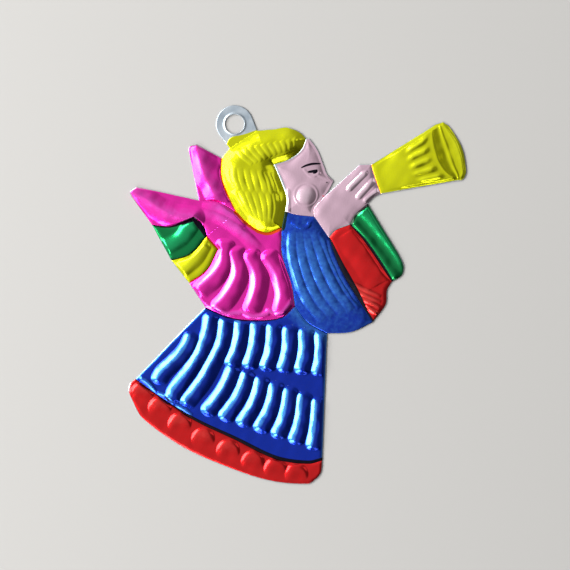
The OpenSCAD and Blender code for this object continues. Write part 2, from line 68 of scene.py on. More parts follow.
# Corners where the fields meet
TAB_LEFT = (-1.5, -7.5)
TAB_RIGHT = (7, -2)
FORELOCK = (22, -4.5)
FOREHEAD = (23, -4.5)
TEMPLE = (12, -12.5)
JAW = (15.5, -27)
HAIR_END = (14.5, -32)
NAPE = (-4, -10.5)
WING_ROOT = (0.5, -27)
FAR_ROOT = (-11, -23.5)
NOSE = (30.5, -17.5)
THROAT = (28, -22)
COLLAR_END = (24.5, -28.5)
KNUCKLE = (38.5, -12.5)
GRIP_TOP = (42, -12.5)
GRIP_LOW = (45, -21.5)
ELBOW = (29, -35)
CUFF_FOLD = (35.5, -31)
CUFF_TOP = (41, -24.5)
CUFF_OUT = (50.5, -40)
CUFF_END = (48.5, -48.5)
SLEEVE_END = (42.5, -61)
WAIST_LEFT = (18.5, -56)
WAIST_RIGHT = (28.5, -64.5)
SKIRT_TOP = (-9, -56.5)
SKIRT_SIDE = (-16, -63.5)
FEATHER_ROOT = (-8.5, -34.5)
GREEN_ROOT = (-12.5, -29)
YELLOW_ROOT = (-5, -38.5)
GREEN_TIP = (-25.5, -31)
YELLOW_TIP = (-19.5, -42)
WING_LOW = (-14, -49)

TRUMPET_L = 23
MOUTH_W = 18.5
TRUMPET_TILT = math.radians(21)
MOUTH_TILT = math.radians(18)
SKIRT_L = 39
HEM_H = 9
WING_TIP_L = 13
FAR_WING_L = 16


def shifted(point, dx, dz):
    """A point moved by a step."""
    return (point[0] + dx, point[1] + dz)


GRIP_MID = ((GRIP_TOP[0] + GRIP_LOW[0]) / 2, (GRIP_TOP[1] + GRIP_LOW[1]) / 2)
MOUTH_MID = shifted(GRIP_MID, TRUMPET_L * math.cos(TRUMPET_TILT), TRUMPET_L * math.sin(TRUMPET_TILT))
HALF_MOUTH = (-MOUTH_W / 2 * math.sin(MOUTH_TILT), MOUTH_W / 2 * math.cos(MOUTH_TILT))
MOUTH_TOP = shifted(MOUTH_MID, *HALF_MOUTH)
MOUTH_LOW = shifted(MOUTH_MID, -HALF_MOUTH[0], -HALF_MOUTH[1])
BELL_TOP = shifted(MOUTH_TOP, 2, 0.6)
BELL_LOW = shifted(MOUTH_LOW, 2, 0.2)
NEAR_MID = shifted((-18, -24.5), -0.98 * WING_TIP_L, 0.2 * WING_TIP_L)
NEAR_TOP = shifted(NEAR_MID, 0.5, 2.5)
NEAR_LOW = shifted(NEAR_MID, -1, -0.5)
FAR_TIP_LEFT = shifted(FAR_ROOT, -0.2 * FAR_WING_L, 0.98 * FAR_WING_L)
FAR_TIP_RIGHT = shifted(FAR_TIP_LEFT, 2.5, 1.5)
SKIRT_FOOT = shifted(WAIST_RIGHT, -1.5, -SKIRT_L)
SKIRT_TOE = (-30.5, -39.5 - SKIRT_L)
HEM_FOOT = shifted(SKIRT_FOOT, -0.17 * HEM_H, -0.6 * HEM_H)
HEM_TOE = shifted(SKIRT_TOE, -1.5, -1)
HEM_STEPS = ((7.5, -5.5), (18, -12.5), (30.5, -18.5), (43, -24.5), (53, -26))
HEM_POINTS = [SKIRT_TOE] + [shifted(SKIRT_TOE, *step) for step in HEM_STEPS] + [SKIRT_FOOT]
HEM_DROPS = ((-0.09, -0.77), (-0.6, -0.72), (-0.45, -0.89), (-0.47, -0.86), (-0.26, -0.73), (0, -0.69))

# Every curve of the outline and of the creases: its points and its count of facets
CURVES = {
    "chord": ([TAB_LEFT, TAB_RIGHT], 4),
    "crown": ([TAB_RIGHT, (12.5, -1.5), (16, -1), (20, -2.5), FORELOCK], 12),
    "brow": ([FORELOCK, FOREHEAD], 2),
    "profile": ([FOREHEAD, (25.5, -8), (27.5, -13), (28.5, -15.5), NOSE], 7),
    "lip": ([NOSE, (29.5, -19.5), THROAT], 2),
    "arm_top": ([THROAT, KNUCKLE], 10),
    "knuckles": ([KNUCKLE, GRIP_TOP], 2),
    "cone_top": ([GRIP_TOP, MOUTH_TOP], 8),
    "bell_edge_top": ([MOUTH_TOP, BELL_TOP], 3),
    "bell": ([BELL_TOP, shifted(BELL_TOP, 2, -1.5), shifted(MOUTH_MID, 5, 1.5),
              shifted(BELL_LOW, 1.5, 3), shifted(BELL_LOW, 1, 1), BELL_LOW], 12),
    "bell_edge_low": ([MOUTH_LOW, BELL_LOW], 3),
    "cone_low": ([GRIP_LOW, MOUTH_LOW], 8),
    "heel": ([CUFF_TOP, (43, -22.5), GRIP_LOW], 3),
    "cuff_edge": ([CUFF_TOP, CUFF_OUT], 14),
    "cuff_foot": ([CUFF_END, (51.5, -46.5), (52, -43.5), CUFF_OUT], 4),
    "sleeve_foot": ([SLEEVE_END, (46.5, -55.5), (47, -51), CUFF_END], 6),
    "sleeve_low": ([WAIST_RIGHT, (36, -64), SLEEVE_END], 10),
    "skirt_right": ([WAIST_RIGHT, SKIRT_FOOT], 12),
    "hem_right": ([SKIRT_FOOT, shifted(SKIRT_FOOT, -0.04 * HEM_H, -0.4 * HEM_H), HEM_FOOT], 4),
    "hem_low": ([HEM_TOE, shifted(SKIRT_TOE, -0.24 * HEM_H, -0.36 * HEM_H)] + [
        shifted(point, HEM_H * dx, HEM_H * dz) for point, (dx, dz) in zip(HEM_POINTS, HEM_DROPS)
    ] + [HEM_FOOT], 36),
    "hem_left": ([SKIRT_TOE, HEM_TOE], 4),
    "skirt_left": ([SKIRT_SIDE, SKIRT_TOE], 12),
    "hip": ([SKIRT_SIDE, SKIRT_TOP], 4),
    "wing_low_edge": ([WING_LOW, SKIRT_TOP], 2),
    "yellow_edge": ([YELLOW_TIP, WING_LOW], 4),
    "green_edge": ([GREEN_TIP, YELLOW_TIP], 4),
    "near_left": ([NEAR_LOW, GREEN_TIP], 5),
    "near_tip": ([NEAR_LOW, shifted(NEAR_MID, -1.5, 1), NEAR_TOP], 6),
    "near_top_edge": ([NEAR_TOP, (-24.5, -20.5), FAR_ROOT], 12),
    "far_left": ([FAR_TIP_LEFT, FAR_ROOT], 21),
    "far_tip": ([FAR_TIP_LEFT, shifted(FAR_TIP_LEFT, 0.5, 1), FAR_TIP_RIGHT], 5),
    "far_top": ([FAR_TIP_RIGHT, NAPE], 4),
    "nape_edge": ([TAB_LEFT, NAPE], 3),
    "fringe": ([FORELOCK, (20.5, -8), (16.5, -11), TEMPLE], 6),
    "temple_edge": ([TEMPLE, (14, -17), (16, -23), JAW], 12),
    "lock_edge": ([JAW, HAIR_END], 2),
    "behind": ([NAPE, (-4, -16), (-2, -22), WING_ROOT], 17),
    "hair_foot": ([WING_ROOT, (4.5, -31), (9.5, -33.5), HAIR_END], 16),
    "far_near": ([FAR_ROOT, (-5, -24), WING_ROOT], 5),
    "wing_seam": ([WING_ROOT, FEATHER_ROOT], 6),
    "green_top_edge": ([GREEN_TIP, (-19.5, -31.5), GREEN_ROOT], 8),
    "green_end": ([GREEN_ROOT, (-9.5, -31.5), FEATHER_ROOT], 4),
    "green_low_edge": ([YELLOW_TIP, (-13.5, -40), FEATHER_ROOT], 8),
    "yellow_end": ([FEATHER_ROOT, YELLOW_ROOT], 4),
    "yellow_low_edge": ([WING_LOW, (-8.5, -45), YELLOW_ROOT], 8),
    "wing_side": ([HAIR_END, (14.5, -40), (17.5, -49.5), WAIST_LEFT], 12),
    "wing_foot": ([SKIRT_TOP, (-2, -59.5), (6, -60.5), (14.5, -59.5), WAIST_LEFT], 20),
    "waist": ([WAIST_LEFT, (22.5, -61), WAIST_RIGHT], 12),
    "collar": ([JAW, (19.5, -28), COLLAR_END], 8),
    "throat_edge": ([THROAT, (24.5, -26), COLLAR_END], 3),
    "shoulder": ([COLLAR_END, ELBOW], 14),
    "sleeve_line": ([ELBOW, (33, -45.5), SLEEVE_END], 14),
    "sleeve_top": ([ELBOW, (31.5, -32.5), CUFF_FOLD], 6),
    "cuff_line": ([CUFF_FOLD, (40, -36), CUFF_END], 14),
    "cuff_top_edge": ([CUFF_FOLD, (37, -28), CUFF_TOP], 4),
    "grip": ([GRIP_TOP, (43.5, -17.5), GRIP_LOW], 12),
    "mouth": ([MOUTH_TOP, shifted(MOUTH_TOP, -1.5, -1), shifted(MOUTH_MID, -4.5, 2.5),
               shifted(MOUTH_MID, -2, -4.5), MOUTH_LOW], 12),
    "hem_line": (HEM_POINTS, 36),
}


def touch(point, side):
    """Where a line from a point touches the tab's ring: the point's own angle, turned by the
    arc cosine of the radius over its distance."""
    turn = math.atan2(point[1], point[0]) + side * math.acos(RING_R / math.hypot(*point))
    return (RING_R * math.cos(turn), RING_R * math.sin(turn))


def between(a, b, share):
    """The point at a share of the way from one point to another."""
    return (a[0] + share * (b[0] - a[0]), a[1] + share * (b[1] - a[1]))


LAP_LEFT = between(TAB_LEFT, touch(TAB_LEFT, -1), 0.3)
LAP_RIGHT = between(TAB_RIGHT, touch(TAB_RIGHT, 1), 0.06)
CURVES["lap_top"] = ([LAP_LEFT, (-1.9, -5), (-0.6, -3.9), (1.5, -3.5), (3.8, -2.9), LAP_RIGHT], 4)
CURVES["lap_left"] = ([LAP_LEFT, TAB_LEFT], 2)
CURVES["lap_right"] = ([LAP_RIGHT, TAB_RIGHT], 2)

# Each field's upper, lower, left and right edge; a minus sign turns a curve round
FIELDS = {
    "lap": ("lap_top", "chord", "lap_left", "lap_right"),
    "hair": ("chord crown", "hair_foot", "nape_edge behind", "fringe temple_edge lock_edge"),
    "face": ("-fringe brow", "collar", "temple_edge", "profile lip throat_edge"),
    "arm": ("-throat_edge arm_top", "sleeve_top cuff_top_edge heel", "shoulder", "knuckles grip"),
    "cone": ("cone_top", "cone_low", "grip", "mouth"),
    "mouth": ("bell_edge_top", "bell_edge_low", "mouth", "bell"),
    "far_wing": ("far_tip", "far_near", "far_left", "far_top behind"),
    "limb": ("near_top_edge far_near", "near_left green_top_edge green_end", "-near_tip", "wing_seam"),
    "fan": ("-wing_seam hair_foot", "wing_low_edge wing_foot", "yellow_end -yellow_low_edge",
            "wing_side"),
    "green": ("green_top_edge", "green_low_edge", "green_edge", "green_end"),
    "yellow": ("green_low_edge", "yellow_low_edge", "yellow_edge", "yellow_end"),
    "bodice": ("collar shoulder", "waist sleeve_low", "lock_edge wing_side", "sleeve_line"),
    "sleeve": ("sleeve_top", "sleeve_foot", "sleeve_line", "cuff_line"),
    "cuff": ("cuff_top_edge", "cuff_foot", "cuff_line", "cuff_edge"),
    "skirt": ("hip wing_foot waist", "hem_line", "skirt_left", "skirt_right"),
    "hem": ("hem_line", "hem_low", "hem_left", "hem_right"),
}


def border_of(fields):
    """The curves round several fields: those that only one of them has."""
    names = " ".join(" ".join(FIELDS[field]) for field in fields).replace("-", "").split()
    return [name for name in names if names.count(name) == 1]


SILHOUETTE = [name for name in border_of(FIELDS) if not name.startswith("lap")]


def spline(points, shares):
    """Points of a smooth curve at shares of its length: cubic pieces between the given points,
    whose slope at a point is the step between its neighbours over the length between them."""
    p = np.array(points, float)
    s = np.concatenate([[0], np.cumsum(np.hypot(*np.diff(p, axis=0).T))])
    order = np.arange(len(p))
    before, after = np.maximum(order - 1, 0), np.minimum(order + 1, len(p) - 1)
    slope = (p[after] - p[before]) / (s[after] - s[before])[:, None]
    d = np.asarray(shares, float) * s[-1]
    k = np.clip(np.searchsorted(s, d, side="right") - 1, 0, len(p) - 2)
    h = (s[k + 1] - s[k])[:, None]
    t = (d[:, None] - s[k][:, None]) / h
    start = (1 - t) ** 2 * ((1 + 2 * t) * p[k] + t * h * slope[k])
    end = t ** 2 * ((3 - 2 * t) * p[k + 1] + (t - 1) * h * slope[k + 1])
    return start + end


def along(names, shares):
    """Points of curves that follow each other, each over a share of the whole by its count."""
    parts = names.split()
    counts = [CURVES[n.lstrip("-")][1] for n in parts]
    ends = np.cumsum([0] + counts) / sum(counts)
    flat = np.ravel(shares)
    which = np.clip(np.searchsorted(ends, flat + 1e-9, side="right") - 1, 0, len(parts) - 1)
    out = np.zeros((len(flat), 2))
    for k, name in enumerate(parts):
        mine = which == k
        local = np.clip((flat[mine] - ends[k]) / (ends[k + 1] - ends[k]), 0, 1)
        out[mine] = spline(CURVES[name.lstrip("-")][0], 1 - local if name.startswith("-") else local)
    return out.reshape(np.shape(shares) + (2,))


def surface(field, u, v):
    """Plan of a field at u across and v down: the blend of its sides plus the blend of its ends,
    less the blend of its four corners."""
    top, foot, left, right = FIELDS[field]
    at_top, at_foot = along(top, u), along(foot, u)
    at_left, at_right = along(left, v), along(right, v)
    a, b = u[..., None], v[..., None]
    ends = np.array([0.0, 1.0])
    (top_left, top_right), (foot_left, foot_right) = along(top, ends), along(foot, ends)
    corners = (1 - b) * ((1 - a) * top_left + a * top_right) + b * ((1 - a) * foot_left + a * foot_right)
    return (1 - a) * at_left + a * at_right + (1 - b) * at_top + b * at_foot - corners


def steps_of(names):
    """The count of facets on curves that follow each other."""
    return sum(CURVES[n.lstrip("-")][1] for n in names.split())


def field_shares(field, fine):
    """u and v on an even grid with fine steps for each facet of the field's edges."""
    columns = steps_of(FIELDS[field][0]) * fine
    rows = steps_of(FIELDS[field][2]) * fine
    return np.meshgrid(np.arange(columns + 1) / columns, np.arange(rows + 1) / rows)


def nearest(x, z, line):
    """Distance from each point to a broken line, its offset to the right of a line that runs
    down, and the share of the line at the nearest place."""
    a, step = line[:-1], np.diff(line, axis=0)
    dx, dz = x[:, None] - a[:, 0], z[:, None] - a[:, 1]
    t = np.clip((dx * step[:, 0] + dz * step[:, 1]) / np.sum(step ** 2, axis=1), 0, 1)
    off = np.hypot(dx - t * step[:, 0], dz - t * step[:, 1])
    k = np.argmin(off, axis=1)
    row = np.arange(len(x))
    cross = step[k, 0] * dz[row, k] - step[k, 1] * dx[row, k]
    return off[row, k], cross / np.hypot(*step[k].T), (k + t[row, k]) / len(step)


def edge_distance(x, z, names):
    """Distance from each point to the nearest of the named curves."""
    off = np.full(len(x), np.inf)
    for name in names:
        points, count = CURVES[name]
        line = spline(points, np.linspace(0, 1, 2 * count if len(points) > 2 else 2))
        off = np.minimum(off, nearest(x, z, line)[0])
    return off


def plateau(d, width):
    """0 on the edge and 1 from a width inwards, as a quarter of a rounded arch."""
    return 1 - (1 - np.clip(d / width, 0, 1)) ** 2


def fade(d, width):
    """0 on the edge and 1 from a width inwards, as a smooth step: three squares less two cubes."""
    t = np.clip(d / width, 0, 1)
    return t * t * (3 - 2 * t)


def hump(offset, width):
    """A bell curve: e to the power of less the square of the offset over the width."""
    return np.exp(-(offset / width) ** 2)


def beside(x, z, path):
    """Distance, offset to the right and share of the way along a smooth path."""
    return nearest(x, z, spline(path, np.linspace(0, 1, PATH_STEPS + 1)))


def ridge(x, z, path, left, right=None, taper=0.0):
    """A ridge along a path that runs down; its sides are equally wide where only one is given. Its
    height is 1 less the square of the offset over the width of that side, and less the square of
    the way past its end over a cap, to the power 1.25. The cap is 1.3 times the narrower side, and
    2.2 at most. A taper lowers the ends by a half sine wave to that power."""
    right = left if right is None else right
    off, lateral, share = beside(x, z, path)
    past = np.maximum(off ** 2 - lateral ** 2, 0) / min(1.3 * left, 1.3 * right, 2.2) ** 2
    across = np.minimum(lateral ** 2, off ** 2) / np.where(lateral > 0, right, left) ** 2
    height = np.clip(1 - across - past, 0, 1) ** 1.25
    return height * np.clip(np.sin(math.pi * share), 0, 1) ** taper


def roof(x, z, path, left, right):
    """Two flat slopes that meet in a soft crease along a path that runs down: 1.06 less the root of
    the square of the distance over the width plus 0.012. The width goes from the left one to the
    right one with the offset over the distance."""
    off, lateral, _ = beside(x, z, path)
    side = np.clip(lateral / np.maximum(off, 1e-6), -1, 1)
    width = (left + right) / 2 + (right - left) / 2 * side
    return np.clip(1.06 - np.sqrt((off / width) ** 2 + 0.012), 0, 1)


def fan_of(first, last, count):
    """Paths spread evenly from the first path to the last."""
    a, b = np.array(first, float), np.array(last, float)
    return [a + (b - a) * k / (count - 1) for k in range(count)]


def ridges(x, z, paths, left, right=None, taper=0.0):
    """The highest of several ridges."""
    return np.max([ridge(x, z, path, left, right, taper) for path in paths], axis=0)


def moved(paths, dx, dz=0):
    """The same paths, each moved by a step."""
    return [np.array(path, float) + (dx, dz) for path in paths]


def dome(x, z, centre, radius):
    """1 less the square of the distance from the centre over the radius."""
    return np.clip(1 - ((x - centre[0]) ** 2 + (z - centre[1]) ** 2) / radius ** 2, 0, 1)


def half_moon(x, z, centre, radius):
    """A stamp that is steep round its upper rim and runs out gently below: a dome to the power 0.8,
    times 2 less the dome, times a smooth step up from 0.7 radii below the centre."""
    ball = dome(x, z, centre, radius)
    return ball ** 0.8 * (2 - ball) * fade(z - centre[1] + 0.7 * radius, 1.3 * radius)


def dents(x, z):
    """The unevenness of hand work: long crossed waves of unlike lengths."""
    return (np.sin(0.83 * x + 0.31 * z + 0.6) * np.sin(0.67 * z - 0.23 * x + 1)
            + 0.6 * np.sin(0.41 * x - 1.13 * z + 2) * np.sin(1.07 * x + 0.2 * z))


# Paths of the ridges, in the order that they are pressed
HAIR_TOP = fan_of([(0.5, -8), (2.6, -10.4), (5.4, -12.6)], [(20, -4.2), (20.4, -5.4), (19.8, -7)], 11)
HAIR_BACK = fan_of(
    [(-2.6, -13), (-2.4, -16.5), (-0.8, -20.5)], [(11.4, -15), (12.8, -18), (13.4, -22)], 8)
HAIR_LOW = fan_of([(-0.6, -20.5), (1.6, -25), (4.5, -29.5)], [(14.2, -21), (14.6, -26), (13, -31)], 8)
HAIR_ROLL = [(9.2, -12.4), (12, -10.8), (15, -9.6), (19, -8.2), (21.4, -6)]
FINGERS = [
    [(39.8, -15.4), (35.5, -19.7)], [(42.3, -17.8), (38.3, -22.2)], [(44, -20.6), (40.6, -23.4)],
]
TIP_RIDGE = [
    (-31.5, -20.8), (-27.6, -22.8), (-24.5, -24.9), (-21.4, -26.8), (-18.3, -27.9), (-12.8, -28.6),
]
LIMB_RIDGES = [
    [(-12.5, -27), (-7, -27.6), (-2, -30), (3.5, -34.2), (8.5, -39.6)],
    [(-10, -24.6), (-5, -25.6), (-0.4, -28.2), (3, -32)],
]
FEATHERS = [
    [(-4.5, -37.2), (-4.6, -42.2), (-6.6, -45.8), (-9.1, -48.3), (-11.5, -50.5)],
    [(-1.3, -39.8), (-0.2, -43.4), (-0.2, -46.5), (-1.1, -48.9), (-3.9, -53.5), (-6, -55.7)],
    [(3.4, -40.9), (5.7, -45.7), (6, -48), (5.4, -52), (3.8, -56.4)],
    [(9, -41.2), (11.5, -44.9), (13, -48.6), (13.7, -52.6), (12.9, -56.8)],
]
FEATHER_ENDS = [
    [(-12, -51.5), (-10, -55), (-6.6, -56.6)], [(-6.4, -56.2), (-3, -58.2), (1.6, -58)],
    [(2.4, -57.8), (6, -59.3), (10, -58.2)], [(10.6, -57.6), (14, -58.2), (17.6, -54.5)],
]
FAR_CREASE = [(-11.8, -6.2), (-9.4, -14.8), (-6, -21.8)]
GREEN_CREASE = [(-13.5, -31.5), (-15.3, -34), (-17, -35.7), (-21, -37.7)]
YELLOW_CREASE = [(-9.8, -37.6), (-12.2, -41.5), (-16.5, -45)]
BODICE_FOLDS = fan_of(
    [(17.6, -33), (17.2, -38.6), (19, -47.6), (22.5, -55.4), (27, -60.5)],
    [(25.7, -33.4), (28, -38), (30.8, -44.3), (34.2, -50.6), (38.6, -56.5)], 5)
COLLAR_FOLD = [(17.4, -30), (20.6, -31.9), (22.6, -31.4), (23.2, -29.8)]
SLEEVE_FOLDS = [
    [(34.3, -47.9), (39.4, -50.8), (45, -53.2)], [(36.4, -50.6), (41.4, -53.4), (45, -54.8)],
    [(38.6, -53.4), (43.1, -55.6), (45, -57)], [(40.2, -56), (43.4, -58), (45, -59)],
]
SLEEVE_RIDGE = [(34.4, -33.4), (37, -37.6), (41, -43.4), (44.4, -49.5)]
SKIRT_LONG = [
    [(-14.4, -65.8), (-15.6, -68.3), (-17.4, -70.8), (-19.9, -73.2), (-23, -76), (-24.2, -78)],
    [(-8.5, -60), (-8.8, -63.4), (-10, -67.1), (-11.6, -71.1), (-13.7, -74.2), (-19.3, -81.8),
     (-20, -83.7)],
    [(-3.9, -61.2), (-4.2, -64.9), (-5.4, -68.9), (-8.2, -74.2), (-10.3, -78.2), (-13.7, -82.8),
     (-15.5, -85)],
]
SKIRT_UPPER = fan_of(
    [(1, -61.4), (0.7, -64.9), (-0.2, -69.5), (-1.7, -73)],
    [(25.6, -65.6), (25.9, -68.9), (25.6, -72.6), (24.9, -75.6)], 6)
SKIRT_LOWER = fan_of(
    [(-1.7, -76), (-2.8, -78.8), (-5.1, -82.8), (-9, -87.6)],
    [(24.6, -86), (24.3, -91.1), (23.9, -95), (23.2, -98.4)], 7)
HEM_STAMPS = [
    [(-28.4, -78.4), (-26.6, -79.6), (-24.7, -82)], [(-23.2, -82.8), (-21.1, -83.6), (-19.3, -85.6)],
    [(-17.6, -86.8), (-15.6, -87.6), (-13.7, -89.4)],
]
MOONS = [
    (-28.4, -82.8), (-23, -87.4), (-16.9, -92.4), (-9.7, -97), (-2, -100.6), (5.6, -104),
    (12.6, -106.2), (19, -107.8),
]
MOON_R = 3.6
CHEEK = (22, -21.9)
CHEEK_R = 3.2
NOSE_CREASE = [(26.2, -15.8), (29.6, -17.1)]
EYELID = [(21.5, -14.2), (22.9, -15.8), (24.4, -16.1), (26, -15)]
JAW_CREASE = [(16.3, -21), (16.4, -26.8)]
FLUTE_COUNT = 6.5

# How high each form stands
HAIR_H = 1.75
STRAND_H = 0.13
ROLL_H = 0.09
FACE_H = 0.4
CHEEK_H = 0.42
CHEEK_RING_H = 0.08
NOSE_H = 0.12
EYELID_H = 0.08
JAW_H = 0.2
ARM_H = 0.36
FINGER_H = 0.24
CONE_H = 1.1
CONE_FLUTE_H = 0.34
RIM_H = 0.2
INNER_RIM_H = 0.14
DISH_H = 0.12
FAR_WING_H = 0.95
TIP_H = 1.5
LIMB_H = 0.5
FEATHER_H = 0.85
FEATHER_END_H = 0.3
SIDE_FEATHER_H = 0.6
BODICE_H = 0.5
BODICE_FOLD_H = 0.26
COLLAR_H = 0.3
SLEEVE_H = 0.35
SLEEVE_FOLD_H = 0.34
SLEEVE_BACK_H = 0.42
SKIRT_FLUTE_H = 0.82
HEM_STAMP_H = 0.25
MOON_H = 0.62
DENT_H = 0.045


# The relief of each coat: x, z, the distance d to the coat's edge and the field's own u and v
# give the height, and how thin the lacquer runs, which also carries the painted highlights
def hair_relief(x, z, d, u, v):
    """A round puff, plus the strands and the roll of the fringe. The lacquer is thin on strands."""
    top = ridges(x, z, HAIR_TOP, left=0.7, right=1.2, taper=0.3)
    strands = np.maximum(top, ridges(x, z, HAIR_BACK + HAIR_LOW, left=0.8, right=1.3, taper=0.4))
    roll = ridge(x, z, HAIR_ROLL, 0.9, taper=0.5)
    height = HAIR_H * plateau(d, 5) + (STRAND_H * strands + ROLL_H * roll) * fade(d, 2.4)
    return height, strands * fade(d, 2)


def lap_relief(x, z, d, u, v):
    """Flat, where the hair's lacquer laps over the tab."""
    return 0 * x, 0 * x


def face_relief(x, z, d, u, v):
    """A low swell and the cheek's dome, a hump in a ring round the cheek, and three creases."""
    ball = dome(x, z, CHEEK, CHEEK_R)
    off_ring = np.hypot(x - CHEEK[0], z - CHEEK[1]) - CHEEK_R - 0.3
    ring = CHEEK_RING_H * hump(off_ring, 0.35) * fade(d, 0.8)
    swell = FACE_H * plateau(np.maximum(d - 0.8, 0), 4) + CHEEK_H * ball + ring
    creases = NOSE_H * ridge(x, z, NOSE_CREASE, 0.8) + EYELID_H * ridge(x, z, EYELID, 0.5)
    return swell + (creases + JAW_H * ridge(x, z, JAW_CREASE, 1)) * fade(d, 0.6), ball


def arm_relief(x, z, d, u, v):
    """A rounded back, plus the fingers."""
    fingers = ridges(x, z, FINGERS, 1.1)
    return ARM_H * plateau(d, 3.2) + FINGER_H * fingers * fade(d, 1), fingers


def cone_arch(v):
    """The height across the cone: the root of a rounded arch."""
    return CONE_H * np.sqrt(plateau(np.minimum(v, 1 - v), 0.5))


def cone_relief(x, z, d, u, v):
    """The cone's arch, which grows along u, plus a cosine wave of flutes before its mouth."""
    wave = 0.5 - 0.5 * np.cos(2 * math.pi * FLUTE_COUNT * v)
    flutes = wave * fade(np.minimum(u - 0.54, 0.98 - u), 0.13)
    arch = cone_arch(v) * (0.12 + 0.88 * fade(u, 0.6)) * fade(d, 1.2)
    return arch + CONE_FLUTE_H * flutes * fade(d, 1.5), flutes


def mouth_relief(x, z, d, u, v):
    """The cone's arch sinks to half, then come a thin rim, an inner one and the dished opening."""
    rim = np.maximum(hump(u - 0.06, 0.1) - hump(0.06, 0.1), 0)
    dish = fade(u - 0.55, 0.35)
    arch = cone_arch(v) * (1 - 0.5 * fade(u, 0.45))
    height = arch + RIM_H * rim + INNER_RIM_H * hump(u - 0.5, 0.05) + DISH_H * dish
    return height * fade(d, 1.2), np.maximum(rim, dish)


def far_wing_relief(x, z, d, u, v):
    """A low plateau, plus a roof over the crease."""
    crease = roof(x, z, FAR_CREASE, left=3.2, right=5)
    return 0.1 * plateau(d, 1) + FAR_WING_H * crease * fade(d, 0.6), 0.5 * crease


def near_wing_relief(x, z, d, u, v):
    """A low plateau, a roof over the tip, and the limbs, the feathers and the feathers' ends, each
    less where a higher form crosses it. The lacquer is thin and lighter on them; left of the
    feathers' crests the lighter band is also a painted highlight on the slope that faces the light."""
    limbs = ridges(x, z, LIMB_RIDGES, left=2.6, right=1.8, taper=0.8)
    feathers = ridges(x, z, moved(FEATHERS, 0.9), left=2.3, right=4)
    # Painted highlight: a lighter band left of each feather's crest, on the slope that faces the light
    highlight_and_thin = ridges(x, z, moved(FEATHERS, -0.2), 1.3, taper=0.5)
    ends = ridges(x, z, FEATHER_ENDS, 1.1)
    tip = roof(x, z, TIP_RIDGE, left=4, right=3.4)
    base = 0.2 * plateau(d, 1.5) * (1 - tip)
    folds = LIMB_H * limbs * (1 - tip) + FEATHER_H * feathers + FEATHER_END_H * ends * (1 - feathers)
    thin = np.maximum(np.maximum(highlight_and_thin, 0.7 * limbs), np.maximum(0.7 * ends, 0.6 * tip))
    return base + TIP_H * tip * fade(d, 0.5) + folds * fade(d, 1.1), thin


def side_feather_relief(path):
    """The relief of a side feather: a low plateau, plus one wide ridge along its crease."""
    def feather_relief(x, z, d, u, v):
        crease = ridge(x, z, path, 2.8)
        return 0.3 * plateau(d, 1.5) + SIDE_FEATHER_H * crease * fade(d, 1), crease
    return feather_relief


def bodice_relief(x, z, d, u, v):
    """A swell, plus folds that hang from the shoulder and one along the collar."""
    folds = ridges(x, z, BODICE_FOLDS, left=1.3, right=2.4, taper=0.4)
    collar = ridge(x, z, COLLAR_FOLD, 0.8, taper=0.6)
    height = BODICE_H * plateau(d, 4) + (BODICE_FOLD_H * folds + COLLAR_H * collar) * fade(d, 1.8)
    return height, 0.28 + 0.3 * folds * fade(d, 3)


def sleeve_relief(x, z, d, u, v):
    """A swell, plus a broad back down the sleeve and short folds near its end."""
    folds = ridges(x, z, SLEEVE_FOLDS, 0.9, taper=0.6)
    back = ridge(x, z, SLEEVE_RIDGE, 4.4, taper=0.4)
    height = SLEEVE_H * plateau(d, 1.8) + (SLEEVE_FOLD_H * folds + SLEEVE_BACK_H * back) * fade(d, 1)
    return height, folds


def cuff_relief(x, z, d, u, v):
    """Across the cuff the sheet rises at once, sinks into a fold and rises again, higher: three
    smooth steps of u. The colour is lighter on the second rise, where the lacquer runs thin and a
    highlight is painted."""
    lift = 0.5 * fade(u, 0.12) - 0.3 * fade(u - 0.12, 0.26) + 0.72 * fade(u - 0.4, 0.3)
    return lift * plateau(d, 1.4), 0.6 * fade(u - 0.42, 0.2)


def skirt_relief(x, z, d, u, v):
    """A low plateau, plus flutes of uneven height and stamps by the hem. The colour turns lighter
    just left of each crest, where the lacquer runs thin and a highlight is painted on the slope that
    faces the light; and lighter in humps down the side edges, below the waist and on the stamps."""
    paths = SKIRT_LONG + SKIRT_UPPER + SKIRT_LOWER
    flutes = ridges(x, z, moved(paths, 0.8), left=2.4, right=3.4)
    stamps = ridges(x, z, HEM_STAMPS, 0.9)
    folds = SKIRT_FLUTE_H * flutes * (1 + 0.08 * dents(x, z)) + HEM_STAMP_H * stamps
    # Painted highlight: a lighter band just left of each crest, on the slope that faces the light, where
    # the lacquer also runs thin
    highlight_and_thin = ridges(x, z, moved(paths, -0.2), left=1.5, right=1.4)
    highlight_and_thin = np.clip(highlight_and_thin * (1.1 + 0.3 * dents(1.6 * x, 1.6 * z)), 0, 1)
    sides = 0.9 * hump(edge_distance(x, z, ["hip", "skirt_left", "skirt_right"]), 0.5)
    waist = 0.55 * hump(edge_distance(x, z, ["waist"]), 3.5)
    thin = np.max([highlight_and_thin, 0.5 * stamps, sides, waist], axis=0)
    return 0.2 * plateau(d, 1.2) + folds * fade(d, 1.3), thin


def hem_relief(x, z, d, u, v):
    """A low plateau, plus a row of half moons. Lighter on the moons, darker towards the right."""
    moons = np.max([half_moon(x, z, centre, MOON_R) for centre in MOONS], axis=0)
    return 0.25 * plateau(d, 1.2) + MOON_H * moons * fade(d, 0.8), 0.5 * moons - 0.35 * fade(x, 14)


